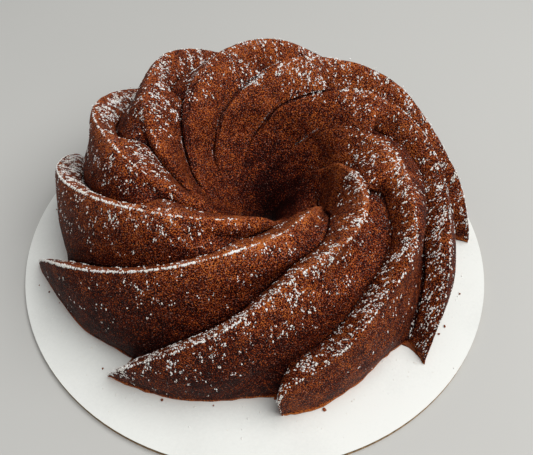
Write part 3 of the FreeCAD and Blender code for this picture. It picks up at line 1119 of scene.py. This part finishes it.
def board_dust(surface, total, rng):
    """Places on the board round the cake's base, thinning outward."""
    direction = rng.random(total) * 2 * pi
    base = surface.points[0]
    angles = np.arctan2(base[:, 1] - surface.centre[1], base[:, 0])
    reach = np.hypot(base[:, 0], base[:, 1] - surface.centre[1])
    order = np.argsort(angles)
    wrapped = (direction + pi) % (2 * pi) - pi
    radius = np.interp(wrapped, angles[order], reach[order]) + rng.exponential(DUST_REACH, total) + DUST_GAP
    x = radius * np.cos(direction)
    y = surface.centre[1] + radius * np.sin(direction)
    keep = np.hypot(x, y) < BOARD_RADIUS - EDGE_KEPT_CLEAR
    return np.stack([x[keep], y[keep], np.full(keep.sum(), BOARD_TOP)], axis=1)


# ---------------------------------------------------------------- operators

# What one step leaves for the next.
STATE = {}
CRUMB_SEED = 23
CRUMB_SIZE_SPREAD = 0.4
CRUMB_STANDS = 0.6
CRUMB_DRAWN_OUT = 0.4


class BakeCrust(bpy.types.Operator):
    """Build the baked ring with its crust and underside"""
    bl_idname = "ring_cake.bake_crust"
    bl_label = "Bake crust"

    def execute(self, context):
        shape, finish = context.scene.cake_shape, context.scene.cake_finish
        crust, surface = build_crust(shape)
        crust.data.materials.append(crust_material(finish, shape))
        crust.data.materials.append(crumb_material(finish))
        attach(crust, "cake")
        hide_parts("sponge")
        STATE["surface"] = surface
        return {"FINISHED"}


class SiftSugar(bpy.types.Operator):
    """Sift icing sugar over the crests and ledges"""
    bl_idname = "ring_cake.sift_sugar"
    bl_label = "Sift sugar"

    def execute(self, context):
        material = sugar_material(context.scene.cake_finish)
        for piece in apply_sugar(STATE["surface"]):
            piece.data.materials.append(material)
            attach(piece, "cake")
        return {"FINISHED"}


class DropCrumbs(bpy.types.Operator):
    """Drop a little sugar and a few crumbs on the board"""
    bl_idname = "ring_cake.drop_crumbs"
    bl_label = "Drop crumbs"

    def execute(self, context):
        finish = context.scene.cake_finish
        rng = np.random.default_rng(CRUMB_SEED)
        for name, total, size, material in (
                ("sugar_on_board", 900, 0.16 * MM, sugar_material(finish)),
                ("loose_crumbs", 26, 0.45 * MM, crumb_material(finish))):
            places = board_dust(STATE["surface"], total, rng)
            sizes = size * np.exp(rng.normal(0.0, CRUMB_SIZE_SPREAD, len(places)))
            normals = np.tile((0.0, 0.0, 1.0), (len(places), 1))
            places[:, 2] += sizes * CRUMB_STANDS
            piece = grains(name, places, normals, sizes, CRUMB_DRAWN_OUT, rng)
            piece.data.materials.append(material)
            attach(piece, "cake_board")
        return {"FINISHED"}


class FinishBoard(bpy.types.Operator):
    """Give the board's three papers their finishes"""
    bl_idname = "ring_cake.finish_board"
    bl_label = "Finish board"

    def execute(self, context):
        finish = context.scene.cake_finish
        papers = {
            "board_top_liner": coated_paper_material(finish),
            "board_fluting": kraft_material(finish, "kraft_fluting", 0.8 * MM, (1.0, 0.2, 1.0)),
            "board_bottom_liner": kraft_material(finish, "kraft_liner", 0.6 * MM, (0.25, 1.0, 1.0)),
        }
        for node, material in papers.items():
            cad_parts[node].data.materials.clear()
            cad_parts[node].data.materials.append(material)
        return {"FINISHED"}


FLOOR_REACH = 2.5
KEY_SIZE = 1.3
KEY_PLACE = Vector((0.56, -0.14, 1.22))
KEY_AIM = Vector((0.0, 0.0, 0.03))
SKY_COLOUR = (0.95, 0.97, 1.0, 1.0)
SKY_STRENGTH = 0.29
# Measured from the middle of the board's face.
CAMERA_PLACE = Vector((5.6 * MM, -231.25 * MM, 287.77 * MM))
SENSOR_WIDTH = 36.0
NEAREST_SEEN = 0.01


class SetStage(bpy.types.Operator):
    """Lay the floor and place the lights and the camera"""
    bl_idname = "ring_cake.set_stage"
    bl_label = "Set stage"

    def execute(self, context):
        studio = context.scene.cake_studio
        sides = ((-1, -1), (1, -1), (1, 1), (-1, 1))
        corners = np.array([(FLOOR_REACH * x, FLOOR_REACH * y, GROUND) for x, y in sides])
        floor = new_piece("floor", corners, np.array([[0, 1, 2, 3]]))
        floor.data.materials.append(floor_material(studio))
        place_key_light(studio)
        world = bpy.data.worlds.new("studio")
        world.use_nodes = True
        background = world.node_tree.nodes["Background"]
        background.inputs["Color"].default_value = SKY_COLOUR
        background.inputs["Strength"].default_value = SKY_STRENGTH
        context.scene.world = world
        context.scene.camera = place_camera(studio)
        context.scene.view_settings.view_transform = "Standard"
        return {"FINISHED"}


def place_key_light(studio):
    """One large soft lamp over the cake's right, aimed at the cake."""
    light = bpy.data.lights.new("key_light", "AREA")
    light.energy = studio.key_power
    light.size = KEY_SIZE
    lamp = bpy.data.objects.new("key_light", light)
    lamp.location = KEY_PLACE
    lamp.rotation_euler = (KEY_AIM - KEY_PLACE).to_track_quat("-Z", "Y").to_euler()
    bpy.context.scene.collection.objects.link(lamp)


def place_camera(studio):
    """A camera that looks along +Y and down, leaning a little, from a place over the board's front."""
    forward = Vector((0.0, cos(studio.elevation), -sin(studio.elevation)))
    right = Vector((1.0, 0.0, 0.0))
    up = right.cross(forward)
    side = cos(studio.roll) * right + sin(studio.roll) * up
    top = cos(studio.roll) * up - sin(studio.roll) * right
    lens = bpy.data.cameras.new("camera")
    lens.lens = studio.lens
    lens.sensor_width = SENSOR_WIDTH
    lens.clip_start = NEAREST_SEEN
    camera = bpy.data.objects.new("camera", lens)
    turned = Matrix((side, top, -forward)).transposed().to_4x4()
    camera.matrix_world = Matrix.Translation(CAMERA_PLACE + Vector((0, 0, BOARD_TOP))) @ turned
    bpy.context.scene.collection.objects.link(camera)
    return camera


STEPS = (BakeCrust, SiftSugar, DropCrumbs, FinishBoard, SetStage)


class RingCakePanel(bpy.types.Panel):
    """Lists the steps that build the cake"""
    bl_idname = "VIEW3D_PT_ring_cake"
    bl_label = "Ring cake"
    bl_space_type = "VIEW_3D"
    bl_region_type = "UI"
    bl_category = "Ring cake"

    def draw(self, context):
        for step in STEPS:
            self.layout.operator(step.bl_idname)


SETTINGS = {"cake_shape": CakeShape, "cake_finish": CakeFinish, "cake_studio": StudioSettings}


def register():
    for kind in (*SETTINGS.values(), *STEPS, RingCakePanel):
        bpy.utils.register_class(kind)
    for name, kind in SETTINGS.items():
        setattr(bpy.types.Scene, name, PointerProperty(type=kind))


def unregister():
    for name in SETTINGS:
        delattr(bpy.types.Scene, name)
    for kind in reversed((*SETTINGS.values(), *STEPS, RingCakePanel)):
        bpy.utils.unregister_class(kind)


def main():
    register()
    bpy.ops.ring_cake.bake_crust()
    bpy.ops.ring_cake.sift_sugar()
    bpy.ops.ring_cake.drop_crumbs()
    bpy.ops.ring_cake.finish_board()
    bpy.ops.ring_cake.set_stage()


if __name__ == "__main__":
    main()
